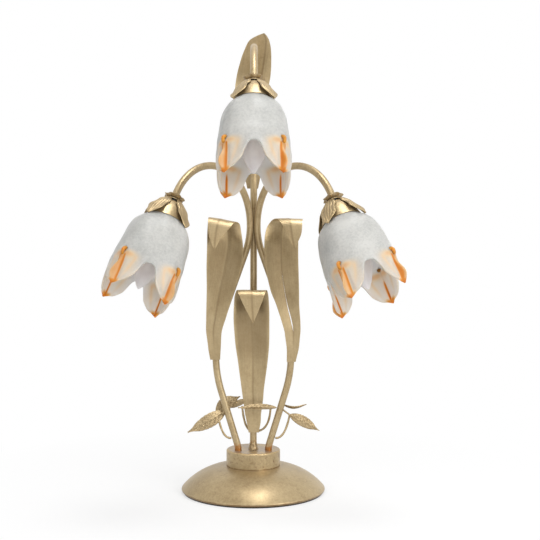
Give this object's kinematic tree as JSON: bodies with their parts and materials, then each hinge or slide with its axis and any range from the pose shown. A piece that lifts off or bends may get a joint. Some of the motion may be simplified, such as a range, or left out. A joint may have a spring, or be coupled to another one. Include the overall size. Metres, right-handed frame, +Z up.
{
  "type": "table lamp",
  "caption": "Table lamp with tulip-shaped glass shades that hang from bent tubes, with folded metal leaves and twigs, on a round domed base.",
  "frame": {"origin": "centre of the base's underside, on the table", "axes": "+X to the right of the lamp seen from its front, +Y to the rear, +Z up"},
  "size_m": [0.3774, 0.349, 0.6335],
  "materials": {
    "gold_metal": "brushed antique gold, slightly worn",
    "gold_grey": "brushed antique gold, greyer",
    "gold_dark": "antique gold darkened by heat",
    "steel": "zinc plated",
    "contact_brass": "plain",
    "ballast_iron": "rough cast",
    "felt": "black felt",
    "black_rubber": "matte",
    "black_plastic": "matte",
    "wire_sleeve": "soft sleeve",
    "white_plastic": "plain white",
    "frosted_glass": "frosted white with soft orange ribs",
    "opal_glass": "opal"
  },
  "bodies": {
    "lamp": {"base_felt": "felt", "base_dome": "gold_metal", "ballast_plate": "ballast_iron", "base_bolt": "steel", "base_washer": "steel", "spacer_sleeve": "steel", "base_collar": "gold_grey", "collar_bridge": "steel", "bridge_nut": "steel", "cable_grommet": "black_rubber", "terminal_block": "white_plastic", "base_wires": "wire_sleeve", "stem_nuts": "steel", "foot_weld": "gold_dark", "stem_left": "gold_metal", "stem_centre": "gold_metal", "stem_right": "gold_metal", "stem_wires": "wire_sleeve", "leaf_left": "gold_metal", "leaf_centre": "gold_metal", "leaf_right": "gold_metal", "leaf_top": "gold_metal", "twig_wire_low_left": "gold_dark", "twig_wire_mid_left": "gold_dark", "twig_wire_mid_right": "gold_dark", "twig_wire_low_right": "gold_dark", "twig_leaf_low_left": "gold_metal", "twig_leaf_high_left": "gold_metal", "twig_leaf_mid_left": "gold_metal", "twig_leaf_mid_right": "gold_metal", "twig_leaf_far_right": "gold_metal", "twig_leaf_low_right": "gold_metal", "cup_left": "gold_metal", "cup_top": "gold_metal", "cup_right": "gold_metal", "arm_spacers": "black_plastic", "calyx_left": "gold_metal", "calyx_top": "gold_metal", "calyx_right": "gold_metal", "fitter_left": "gold_metal", "fitter_top": "gold_metal", "fitter_right": "gold_metal", "arm_nuts": "steel", "holder_left": "white_plastic", "holder_top": "white_plastic", "holder_right": "white_plastic", "holder_contacts": "contact_brass", "shade_left": "frosted_glass", "shade_top": "frosted_glass", "shade_right": "frosted_glass", "shade_ring_left": "white_plastic", "shade_ring_top": "white_plastic", "shade_ring_right": "white_plastic"},
    "bulb_contact_left": {"bulb_foot_left": "contact_brass"},
    "bulb_glass_left": {"bulb_left": "opal_glass"},
    "bulb_contact_top": {"bulb_foot_top": "contact_brass"},
    "bulb_glass_top": {"bulb_top": "opal_glass"},
    "bulb_contact_right": {"bulb_foot_right": "contact_brass"},
    "bulb_glass_right": {"bulb_right": "opal_glass"}
  },
  "joints": [
    {"name": "bulb_drop_left", "type": "slide", "parent": "lamp", "child": "bulb_contact_left", "axis": [-0.3165, -0.3772, -0.8704], "range_m": [0, 0.00846]},
    {"name": "bulb_turn_left", "type": "hinge", "parent": "bulb_contact_left", "child": "bulb_glass_left", "pos_m": [-0.1103, -0.13608, 0.37919], "axis": [-0.3165, -0.3772, -0.8704], "range_deg": [0, 1080]},
    {"name": "bulb_drop_top", "type": "slide", "parent": "lamp", "child": "bulb_contact_top", "axis": [0, -0.4067, -0.9135], "range_m": [0, 0.00846]},
    {"name": "bulb_turn_top", "type": "hinge", "parent": "bulb_contact_top", "child": "bulb_glass_top", "pos_m": [0, -0.16645, 0.52346], "axis": [0, -0.4067, -0.9135], "range_deg": [0, 1080]},
    {"name": "bulb_drop_right", "type": "slide", "parent": "lamp", "child": "bulb_contact_right", "axis": [0.3165, -0.3772, -0.8704], "range_m": [0, 0.00846]},
    {"name": "bulb_turn_right", "type": "hinge", "parent": "bulb_contact_right", "child": "bulb_glass_right", "pos_m": [0.1103, -0.13608, 0.37919], "axis": [0.3165, -0.3772, -0.8704], "range_deg": [0, 1080]}
  ],
  "couplings": [
    {"joint": "bulb_turn_left", "follows": "bulb_drop_left", "rad_per_m": 2228.1},
    {"joint": "bulb_turn_top", "follows": "bulb_drop_top", "rad_per_m": 2228.1},
    {"joint": "bulb_turn_right", "follows": "bulb_drop_right", "rad_per_m": 2228.1}
  ]
}
